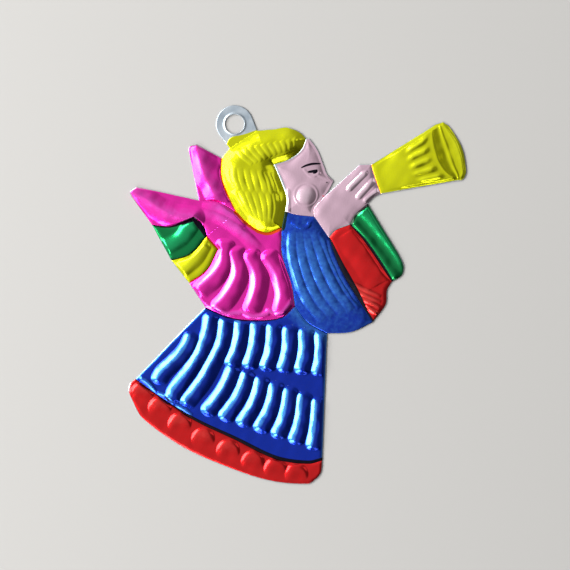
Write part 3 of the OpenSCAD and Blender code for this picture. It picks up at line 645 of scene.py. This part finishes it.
# Each coat: its fields with their reliefs, its colour, and the curves that another colour laps
# over, each with the width of its lap
COATS = {
    "hair": dict(fields={"lap": lap_relief, "hair": hair_relief}, colour="yellow", laps={}),
    "face": dict(fields={"face": face_relief}, colour="pink",
                 laps={"fringe": 0.3, "temple_edge": 0.6}),
    "arm": dict(fields={"arm": arm_relief}, colour="pink", laps={"sleeve_top": 0.3}),
    "trumpet": dict(fields={"cone": cone_relief, "mouth": mouth_relief}, colour="yellow",
                    laps={"grip": 0.2}),
    "far_wing": dict(fields={"far_wing": far_wing_relief}, colour="magenta", laps={"behind": 0.3}),
    "near_wing": dict(fields={"limb": near_wing_relief, "fan": near_wing_relief},
                      colour="magenta", laps={"hair_foot": 0.75}),
    "green_feather": dict(fields={"green": side_feather_relief(GREEN_CREASE)}, colour="green",
                          laps={"green_low_edge": 0.3, "green_top_edge": 0.4}),
    "yellow_feather": dict(fields={"yellow": side_feather_relief(YELLOW_CREASE)}, colour="yellow",
                           laps={"yellow_end": 0.5, "yellow_low_edge": 0.25}),
    "bodice": dict(fields={"bodice": bodice_relief}, colour="blue",
                   laps={"lock_edge": 1, "wing_side": 0.15}),
    "sleeve": dict(fields={"sleeve": sleeve_relief}, colour="red", laps={}),
    "cuff": dict(fields={"cuff": cuff_relief}, colour="green", laps={"cuff_top_edge": 0.7}),
    "skirt": dict(fields={"skirt": skirt_relief}, colour="blue", laps={"wing_foot": 0.3}),
    "hem": dict(fields={"hem": hem_relief}, colour="red", laps={}),
}

# Columns of the points after their x, z and height: distance to the cut edge, depth within the
# lap, or on the sheet how far its front lies lower, and thinness, which also carries painted
# highlights. Far off is out of any edge's reach
RIM, LAP, THIN_AND_HIGHLIGHT = 3, 4, 5
FAR_OFF = 9.0


def relief(coat, field, x, z, u, v):
    """Height of a coat's field above the flat sheet, with the dents of hand work, and how thin the
    lacquer is."""
    fields = COATS[coat]["fields"]
    d = edge_distance(x, z, border_of(name for name in fields if name != "lap"))
    height, thin = fields[field](x, z, d, u, v)
    return height + DENT_H * dents(x, z) * fade(d, 1.5) * (field != "lap"), thin


def added(name, data):
    """An object in the scene for a mesh, a lamp or a camera."""
    thing = bpy.data.objects.new(name, data)
    bpy.context.scene.collection.objects.link(thing)
    return thing


def quads_of(rows, columns, start):
    """Faces of a grid of points that look to the front, as rows run down and columns to the right."""
    a = start + (np.arange(rows - 1)[:, None] * columns + np.arange(columns - 1)).ravel()
    return np.stack([a, a + columns, a + columns + 1, a + 1], axis=1)


def welded(points, quads):
    """Joins the points that share a place in the plan, to a tenth of a micrometre, so that fields
    meet without a seam."""
    key = np.round(points[:, :2] * 1e4).astype(np.int64)
    _, first, back = np.unique(key, axis=0, return_index=True, return_inverse=True)
    return points[first], back.ravel()[quads]


def shell(name, points, quads, front, back, material):
    """A closed skin from points with heights: the front face, the back face turned round, and a
    wall along every edge that only one quad has."""
    points, quads = welded(points, quads)
    n = len(points)
    start = quads.ravel()
    end = np.roll(quads, -1, axis=1).ravel()
    open_edge = ~np.isin(start * n + end, end * n + start) & (start != end)
    i, j = start[open_edge], end[open_edge]
    walls = np.stack([j, i, i + n, j + n], axis=1)
    faces = np.concatenate([quads, quads[:, ::-1] + n, walls])
    x, z, height = points.T[:3]
    lifts = (front(points) if callable(front) else front, back)
    co = np.concatenate([np.stack([x, -(height + lift), z], axis=1) for lift in lifts]) * MM
    mesh = bpy.data.meshes.new(name)
    mesh.vertices.add(len(co))
    mesh.vertices.foreach_set("co", co.astype(np.float32).ravel())
    mesh.loops.add(faces.size)
    mesh.loops.foreach_set("vertex_index", faces.astype(np.int32).ravel())
    mesh.polygons.add(len(faces))
    mesh.polygons.foreach_set("loop_start", (np.arange(len(faces)) * 4).astype(np.int32))
    smooth = np.ones(len(faces), bool)
    smooth[-len(walls):] = False
    mesh.polygons.foreach_set("use_smooth", smooth)
    for column, attribute in ((RIM, "rim"), (LAP, "lap"), (THIN_AND_HIGHLIGHT, "thin")):
        layer = mesh.attributes.new(attribute, "FLOAT", "POINT")
        layer.data.foreach_set("value", np.tile(points[:, column], 2).astype(np.float32))
    mesh.update()
    mesh.validate()
    mesh.materials.append(material)
    return added(name, mesh)


def sampled(coat, field, u, v):
    """A grid of points of a coat's field at u and v: all their columns, then its rows and columns."""
    plan = surface(field, u, v).reshape(-1, 2)
    x, z = plan.T
    height, thin = relief(coat, field, x, z, u.ravel(), v.ravel())
    rim = edge_distance(x, z, SILHOUETTE)
    lap = np.full(len(x), -FAR_OFF)
    for name, width in COATS[coat]["laps"].items():
        lap = np.maximum(lap, width - edge_distance(x, z, [name]))
    return np.stack([x, z, height, rim, lap, thin], axis=1), *u.shape


def joined(grids):
    """Points and faces of several grids, one after another."""
    points, quads, count = [], [], 0
    for grid, rows, columns in grids:
        points.append(grid)
        quads.append(quads_of(rows, columns, count))
        count += len(grid)
    return np.concatenate(points), np.concatenate(quads)


def tab_grid(fine):
    """The tab's grid: rays from the punched hole out to the ring and the chord. The burr beside the
    hole falls as 1.35 less the distance over its width, to the power 1.5."""
    sides = SIDE_FACETS * fine
    chord = along("chord", np.arange(sides + 1) / sides)
    left, right = touch(TAB_LEFT, -1), touch(TAB_RIGHT, 1)
    first, last = math.atan2(right[1], right[0]), math.atan2(left[1], left[0]) + 2 * math.pi
    angles = np.linspace(first, last, RING_FACETS * fine + 1)
    arc = RING_R * np.stack([np.cos(angles), np.sin(angles)], axis=1)
    side = np.linspace(0, 1, sides + 1)[:, None]
    rise = np.array(TAB_RIGHT) + side * (np.array(right) - TAB_RIGHT)
    fall = np.array(left) + side * (np.array(TAB_LEFT) - np.array(left))
    outer = np.concatenate([chord, rise[1:], arc[1:], fall[1:]])[::-1]
    inner = HOLE_R * outer / np.hypot(*outer.T)[:, None]
    shares = np.concatenate([[0, 0.04, 0.09, 0.16, 0.24], np.linspace(0.34, 1, 2 * fine)])
    plan = (inner + shares[::-1, None, None] * (outer - inner)).reshape(-1, 2)
    off_hole = np.hypot(*plan.T) - HOLE_R
    burr = BURR_H * np.clip(1.35 - off_hole / BURR_W, 0, 1) ** 1.5
    rim = np.full(len(plan), FAR_OFF)
    return np.stack([*plan.T, burr, rim, -rim, 0 * rim], axis=1), len(shares), len(outer)


def srgb(r, g, b):
    """A colour given as three bytes, as linear light."""
    c = np.array([r, g, b]) / 255
    return (*np.where(c <= 0.04045, c / 12.92, ((c + 0.055) / 1.055) ** 2.4), 1)


BARE = (196, 206, 214)
# Each lacquer's colour where it pools, where it runs thin and where it laps another colour; the
# bodice has a lap of its own. The thin colour is also painted highlight on the slopes that face
# the light, so the blue one is a pale cyan
LACQUERS = {
    "yellow": ((222, 225, 0), (236, 240, 20), (240, 96, 10)),
    "pink": ((230, 192, 209), (240, 208, 222), BARE),
    "magenta": ((250, 40, 178), (255, 92, 214), (246, 76, 20)),
    "blue": ((0, 44, 172), (72, 150, 242), (0, 10, 70)),
    "green": ((0, 128, 66), (20, 166, 98), (0, 24, 8)),
    "red": ((216, 22, 24), (240, 66, 60), (96, 4, 8)),
}
BODICE_LAP = (2, 30, 24)
COAT_GLOSS = 0.32


def new_group(name, inputs, outputs):
    """An empty node group with its sockets; gives the group, its input node and its output node."""
    group = bpy.data.node_groups.new(name, "ShaderNodeTree")
    for label, kind, value in inputs:
        socket = group.interface.new_socket(label, in_out="INPUT", socket_type="NodeSocket" + kind)
        socket.default_value = value
    for label, kind in outputs:
        group.interface.new_socket(label, in_out="OUTPUT", socket_type="NodeSocket" + kind)
    return group, group.nodes.new("NodeGroupInput"), group.nodes.new("NodeGroupOutput")


def feed(tree, node, values):
    """Gives a node's inputs, by name or place, the socket that each follows or its plain value."""
    for key, value in values.items():
        if isinstance(value, bpy.types.NodeSocket):
            tree.links.new(value, node.inputs[key])
        else:
            node.inputs[key].default_value = value


def math_node(tree, operation, a, b):
    """A Math node; a and b are sockets or numbers."""
    node = tree.nodes.new("ShaderNodeMath")
    node.operation = operation
    feed(tree, node, {0: a, 1: b})
    return node.outputs[0]


def scaled(tree, value, factor, base=None):
    """A value times a factor, plus a base where there is one."""
    product = math_node(tree, "MULTIPLY", value, factor)
    return product if base is None else math_node(tree, "ADD", base, product)


def ramp(tree, value, low, high):
    """A smooth step of a value from 0 at low to 1 at high."""
    node = tree.nodes.new("ShaderNodeMapRange")
    node.interpolation_type = "SMOOTHSTEP"
    feed(tree, node, {"Value": value, "From Min": low, "From Max": high})
    return node.outputs["Result"]


def noise(tree, scale, detail, stretch=(1, 1, 1), turn=0.0):
    """Noise on the piece's own place, stretched along the axes and turned in its plane."""
    place = tree.nodes.new("ShaderNodeTexCoord").outputs["Object"]
    mapping = tree.nodes.new("ShaderNodeMapping")
    feed(tree, mapping, {"Vector": place, "Scale": stretch, "Rotation": (0, turn, 0)})
    texture = tree.nodes.new("ShaderNodeTexNoise")
    feed(tree, texture, {"Vector": mapping.outputs["Vector"], "Scale": scale, "Detail": detail})
    return texture.outputs["Fac"]


def mix(tree, factor, a, b):
    """A mix of two colours; each is a socket or a colour. The node's sockets for colours come after
    those for numbers and vectors."""
    node = tree.nodes.new("ShaderNodeMix")
    node.data_type = "RGBA"
    feed(tree, node, {0: factor, 6: a, 7: b})
    return node.outputs[2]


def grain_group():
    """Fine rolling lines of tinplate and soft waves left by the hand: a tone and a height."""
    group, given, result = new_group(
        "rolled_grain", [("Strength", "Float", 1.0)], [("Tone", "Float"), ("Height", "Float")])
    lines = noise(group, scale=5200, detail=3, stretch=(1, 1, 0.12), turn=math.radians(12))
    waves = noise(group, scale=420, detail=2)
    specks = noise(group, scale=3600, detail=2)
    total = scaled(group, waves, 0.25, scaled(group, lines, 0.6))
    total = scaled(group, specks, 0.15, total)
    height = scaled(group, total, given.outputs["Strength"])
    feed(group, result, {"Tone": total, "Height": height})
    return group


def coat_group():
    """Clear lacquer over tin: it pools dark in hollows, runs thin on ridges, stops short of the
    cut edge and takes another tint where a second colour laps over it. Where the thin attribute
    holds painted highlight, the thin colour paints the highlight on the slopes that face the light."""
    group, given, result = new_group("clear_coat_colour", [
        ("Deep", "Color", (0, 0, 0, 1)), ("Thin_Highlight", "Color", (1, 1, 1, 1)), ("Lap", "Color", (0, 0, 0, 1)),
        ("Bare", "Color", srgb(*BARE)), ("Tone", "Float", 0.5),
    ], [("Color", "Color"), ("Painted", "Float")])
    values = {}
    for name in ("thin", "rim", "lap"):
        node = group.nodes.new("ShaderNodeAttribute")
        node.attribute_name = name
        values[name] = node.outputs["Fac"]
    uneven = math_node(group, "SUBTRACT", noise(group, scale=900, detail=3), 0.5)
    # The thin colour: lacquer that runs thin, and painted highlight on slopes that face the light
    thinness_and_highlight = ramp(group, scaled(group, uneven, 0.5, values["thin"]), 0.1, 0.95)
    lapped = ramp(group, scaled(group, uneven, 0.5, values["lap"]), -0.06, 0.06)
    painted = ramp(group, scaled(group, uneven, 0.25, values["rim"]), 0.04, 0.15)
    colour = mix(group, thinness_and_highlight, given.outputs["Deep"], given.outputs["Thin_Highlight"])
    colour = mix(group, lapped, colour, given.outputs["Lap"])
    colour = mix(group, painted, given.outputs["Bare"], colour)
    shade = mix(group, scaled(group, given.outputs["Tone"], 0.22), colour, (0, 0, 0, 1))
    feed(group, result, {"Color": shade, "Painted": painted})
    return group


GRAIN = grain_group()
COAT_COLOUR = coat_group()


def placed(tree, group):
    """A node group placed in a material."""
    node = tree.nodes.new("ShaderNodeGroup")
    node.node_tree = group
    return node


def new_material(name):
    """A material, its node tree and its shader."""
    material = bpy.data.materials.new(name)
    material.use_nodes = True
    tree = material.node_tree
    return material, tree, tree.nodes["Principled BSDF"]


def bumped(tree, height, distance, strength):
    """The normal of small relief in the finish, whose distance is in millimetres."""
    bump = tree.nodes.new("ShaderNodeBump")
    feed(tree, bump, {"Distance": distance * MM, "Strength": strength, "Height": height})
    return bump.outputs["Normal"]


def lacquer_material(name, pooled, thin, lapped):
    """One colour of clear lacquer on tin, under its own gloss."""
    material, tree, shader = new_material(name)
    grain = placed(tree, GRAIN).outputs
    colour = placed(tree, COAT_COLOUR)
    feed(tree, colour, {
        "Deep": srgb(*pooled), "Thin_Highlight": srgb(*thin), "Lap": srgb(*lapped), "Tone": grain["Tone"],
    })
    feed(tree, shader, {
        "Base Color": colour.outputs["Color"],
        "Metallic": 1,
        "Roughness": scaled(tree, grain["Tone"], 0.16, 0.12),
        "Coat Weight": scaled(tree, colour.outputs["Painted"], COAT_GLOSS),
        "Coat Roughness": 0.1,
        "Normal": bumped(tree, grain["Height"], distance=0.05, strength=0.12),
    })
    return material


def tin_material():
    """Bare rolled tinplate with fine lines and dull patches."""
    material, tree, shader = new_material("bare_tin")
    grain = placed(tree, GRAIN).outputs
    patches = noise(tree, scale=160, detail=4)
    colour = mix(tree, ramp(tree, patches, 0.35, 0.7), srgb(158, 170, 180), srgb(184, 192, 198))
    feed(tree, shader, {
        "Base Color": mix(tree, scaled(tree, grain["Tone"], 0.3), colour, srgb(90, 98, 106)),
        "Metallic": 1,
        "Roughness": scaled(tree, patches, 0.25, 0.26),
        "Normal": bumped(tree, grain["Height"], distance=0.05, strength=0.25),
    })
    return material


def ink_material(name, dark, pale):
    """Opaque ink with brush streaks and a half gloss."""
    material, tree, shader = new_material(name)
    streaks = noise(tree, scale=1500, detail=3, stretch=(1, 1, 0.3))
    feed(tree, shader, {
        "Base Color": mix(tree, streaks, dark, pale),
        "Roughness": scaled(tree, streaks, 0.3, 0.3),
        "Specular IOR Level": 0.06,
        "Normal": bumped(tree, streaks, distance=0.02, strength=0.2),
    })
    return material


TIN = tin_material()
BLACK = ink_material("black_ink", srgb(2, 1, 6), srgb(9, 6, 18))
ROSE = ink_material("rose_ink", srgb(150, 40, 60), srgb(190, 80, 96))


def finish_piece(piece, node):
    """Puts a piece in the place of its node, on the body that carries them all."""
    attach(piece, "root")
    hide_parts(node)


def build_coats():
    """A film for each coat, as thick as the lacquer, over the front of the sheet."""
    materials = {}
    for coat, data in COATS.items():
        slot = data["colour"] + "_lacquer"
        pooled, thin, lapped = LACQUERS[data["colour"]]
        tints = (pooled, thin, BODICE_LAP if coat == "bodice" else lapped)
        if (slot, tints) not in materials:
            materials[slot, tints] = lacquer_material(slot, *tints)
        grids = [sampled(coat, field, *field_shares(field, FILM_STEPS)) for field in data["fields"]]
        piece = shell(coat, *joined(grids), COAT, FRONT, materials[slot, tints])
        finish_piece(piece, coat + "_lacquer")


def build_sheet():
    """The tin sheet under all the coats, with its tab. Its front lies a hair lower under a coat."""
    tab = tab_grid(SHEET_STEPS)
    points, quads = joined([
        sampled(coat, field, *field_shares(field, SHEET_STEPS))
        for coat, data in COATS.items() for field in data["fields"] if field != "lap"
    ] + [tab])
    on_tab = np.arange(len(points)) >= len(points) - len(tab[0])
    edge = np.minimum(points[:, RIM], edge_distance(points[:, 0], points[:, 1], ["chord"]))
    points[:, LAP] = np.where(on_tab, 0, HIDDEN_GAP * fade(edge, 0.8))
    piece = shell("tin_sheet_dressed", points, quads, lambda p: FRONT - p[:, LAP], -FRONT, TIN)
    finish_piece(piece, "tin_sheet")


def ink_piece(name, node, points, quads, material=BLACK, slot="black_ink"):
    """A film of ink that stands on a coat, its back sunk a little into it."""
    points[:, RIM:] = 0
    finish_piece(shell(name, points, quads, INK, COAT - INK_SINK, material), node)


def unit_grid(columns, rows):
    """Shares from 0 to 1 across and down a grid."""
    return np.meshgrid(np.linspace(0, 1, columns + 1), np.linspace(0, 1, rows + 1))


def strip(name, node, coat, field, u, v):
    """An ink line laid on the part of a coat's field at u and v."""
    ink_piece(name, node, *joined([sampled(coat, field, u, v)]))


def build_ink_lines():
    """Ink along the creases: each line is a narrow share of a field beside one of its edges. Its
    width swells as a half sine wave, and at the hem it grows as a smooth step."""
    a, b = unit_grid(INK_STEPS, 140)
    width = 0.045 + 0.10 * np.sin(math.pi * np.clip(b * 1.15, 0, 1)) ** 0.8
    strip("sleeve_line_ink", "sleeve_ink", "sleeve", "sleeve", a * width, b)
    width = 0.04 + 0.035 * np.sin(math.pi * b)
    strip("cuff_line_ink", "cuff_ink", "cuff", "cuff", a * width, b)
    a, b = unit_grid(360, 6)
    width = 0.006 + 0.018 * fade(a - 0.12, 0.25)
    strip("hem_line_ink", "hem_ink", "skirt", "skirt", a, 1 - (1 - b) * width)
    a, b = unit_grid(INK_STEPS, 60)
    width = 0.05 + 0.07 * np.sin(math.pi * b)
    strip("feather_end_ink", "feather_ink", "green_feather", "green", 1 - (1 - a) * width, b)


def stroke_grid(path, width):
    """A brush stroke on the face: a ribbon along a path, whose width is 0.3 of the whole plus 0.7
    of the root of a half sine wave."""
    t = np.linspace(0, 1, STROKE_STEPS + 1)
    line = spline(path, t)
    step = np.gradient(line, axis=0)
    side = np.stack([-step[:, 1], step[:, 0]], axis=1) / np.hypot(*step.T)[:, None]
    half = width / 2 * (0.3 + 0.7 * np.sqrt(np.sin(math.pi * np.clip(t, 0.02, 0.98))))
    across = np.linspace(1, -1, INK_STEPS + 1)
    plan = (line + across[:, None, None] * (half[:, None] * side)).reshape(-1, 2)
    x, z = plan.T
    height, _ = relief("face", "face", x, z, x, z)
    return np.stack([x, z, height, 0 * x, 0 * x, 0 * x], axis=1), len(across), len(t)


def face_stroke(name, node, paths, width, **ink):
    """One piece of ink for strokes along several paths."""
    ink_piece(name, node, *joined(stroke_grid(path, width) for path in paths), **ink)


def build_face_strokes():
    """The brow, the eye's lid and its corner, the nostril and the lips."""
    brow = [(20.5, -13.5), (22, -12.8), (24, -12.3), (26.5, -12.2)]
    face_stroke("brow_stroke", "brow_ink", [brow], 0.72)
    lash = (25.5, -14.2)
    lids = [[(22.5, -14.8), (24, -14.6), lash], [lash, (24.9, -14.8), (24.1, -15.1)]]
    face_stroke("eye_stroke", "eye_ink", lids, 0.85)
    face_stroke("nostril_dot", "nostril_ink", [[(28.2, -18), (28.6, -18)]], 0.4)
    face_stroke("mouth_stroke", "mouth_ink", [[(27, -22), (27.5, -22.3)]], 0.4, material=ROSE,
                slot="red_lacquer")


def floor_material():
    """Pale plain board, seen only from its front: other rays pass, so the light behind it
    reaches the back of the sheet."""
    material, tree, shader = new_material("pale_floor")
    feed(tree, shader, {"Base Color": srgb(158, 156, 153), "Roughness": 0.8})
    seen = tree.nodes.new("ShaderNodeLightPath").outputs["Is Camera Ray"]
    turned = tree.nodes.new("ShaderNodeNewGeometry").outputs["Backfacing"]
    clear = tree.nodes.new("ShaderNodeBsdfTransparent").outputs["BSDF"]
    choose = tree.nodes.new("ShaderNodeMixShader")
    fronts = scaled(tree, math_node(tree, "SUBTRACT", 1, turned), seen)
    feed(tree, choose, {"Fac": fronts, 1: clear, 2: shader.outputs["BSDF"]})
    feed(tree, tree.nodes["Material Output"], {"Surface": choose.outputs["Shader"]})
    return material


def build_floor(centre):
    """The plain pale surface that the ornament lies on, just behind it."""
    half, y = 0.9, (FRONT + 0.04) * MM
    x, z = centre
    corners = [(x + i * half, y, z + k * half) for i, k in ((-1, -1), (1, -1), (1, 1), (-1, 1))]
    mesh = bpy.data.meshes.new("floor")
    mesh.from_pydata(corners, [], [(0, 1, 2, 3)])
    mesh.materials.append(floor_material())
    added("floor", mesh)


def aimed(thing, at):
    """Turns a lamp or the camera to look at a point."""
    thing.rotation_euler = (Vector(at) - thing.location).to_track_quat("-Z", "Y").to_euler()


# Each lamp's step from the middle of the ornament and its width and height in metres, and its watts
LAMPS = {
    "left_window": ((-0.80, -0.68, 0.28), (0.74, 1.12), 28),
    "right_window": ((0.68, -0.62, 0.36), (0.35, 0.45), 0.4),
    "low_left_window": ((-0.42, -0.62, -0.66), (0.34, 0.34), 3.4),
    "low_window": ((0.24, -0.60, -0.84), (0.5, 0.12), 0.6),
    "behind_left": ((-0.3, 0.5, 0.3), (0.4, 0.4), 1.6),
    "behind_right": ((0.4, 0.5, -0.1), (0.3, 0.4), 0.8),
}
# The room's level in front of the ornament, and what its sides add to it or take away
ROOM_LEVEL = 0.76
LEFT_WALL = 0.32
CEILING = 0.2
RIGHT_DIM = 0.55
FLOOR_DIM = 0.25


def area_light(name, step, size, watts, target):
    """A soft rectangle of light, unseen by the camera, that looks at the target."""
    lamp = bpy.data.lights.new(name, "AREA")
    lamp.shape = "RECTANGLE"
    lamp.size, lamp.size_y = size
    lamp.energy = watts
    light = added(name, lamp)
    light.location = [middle + part for middle, part in zip(target, step)]
    light.visible_camera = False
    aimed(light, target)


def build_lamps(target):
    """A tall window on the left with a small one below it, weak ones on the right and below, and
    two lamps behind."""
    for name, (step, size, watts) in LAMPS.items():
        area_light(name, step, size, watts, target)


def build_room():
    """A room that is pale on the left and above, and dim on the right and below. Dull surfaces see
    it in one grey, and the camera sees the plain pale floor's colour."""
    world = bpy.data.worlds.new("soft_room")
    bpy.context.scene.world = world
    world.use_nodes = True
    tree = world.node_tree
    rays = tree.nodes.new("ShaderNodeLightPath").outputs
    split = tree.nodes.new("ShaderNodeSeparateXYZ")
    feed(tree, split, {"Vector": tree.nodes.new("ShaderNodeTexCoord").outputs["Generated"]})
    right, _, up = split.outputs
    pale = scaled(tree, ramp(tree, right, 0.06, -0.4), LEFT_WALL)
    pale = scaled(tree, ramp(tree, up, 0.25, 0.8), CEILING, pale)
    dim = scaled(tree, ramp(tree, right, 0.12, 0.45), RIGHT_DIM)
    dim = scaled(tree, ramp(tree, up, -0.2, -0.8), FLOOR_DIM, dim)
    level = math_node(tree, "ADD", ROOM_LEVEL, math_node(tree, "SUBTRACT", pale, dim))
    level = math_node(tree, "MINIMUM", math_node(tree, "MAXIMUM", level, 0.06), 1.0)
    room = mix(tree, level, (0, 0, 0, 1), (0.97, 0.985, 1, 1))
    room = mix(tree, rays["Is Diffuse Ray"], room, (0.42, 0.43, 0.44, 1))
    seen = math_node(tree, "MAXIMUM", rays["Is Camera Ray"], rays["Is Transmission Ray"])
    room = mix(tree, seen, room, srgb(228, 226, 222))
    feed(tree, tree.nodes["Background"], {"Color": room})


def build_camera(target):
    """Straight on, as the photograph, from a hand's reach away. The span is what the frame shows
    across at that distance, in metres."""
    distance, span = 0.6, 0.1754
    data = bpy.data.cameras.new("camera")
    data.sensor_width = 36
    data.lens = data.sensor_width * distance / span
    camera = added("camera", data)
    camera.location = (target[0], target[1] - distance, target[2])
    aimed(camera, target)
    bpy.context.scene.camera = camera


VIEW_CENTRE = (15.51 * MM, 0, -49.54 * MM)
build_camera(VIEW_CENTRE)
build_sheet()
build_coats()
build_ink_lines()
build_face_strokes()
build_floor((VIEW_CENTRE[0], VIEW_CENTRE[2]))
build_lamps(VIEW_CENTRE)
build_room()
bpy.context.scene.view_settings.view_transform = "Standard"
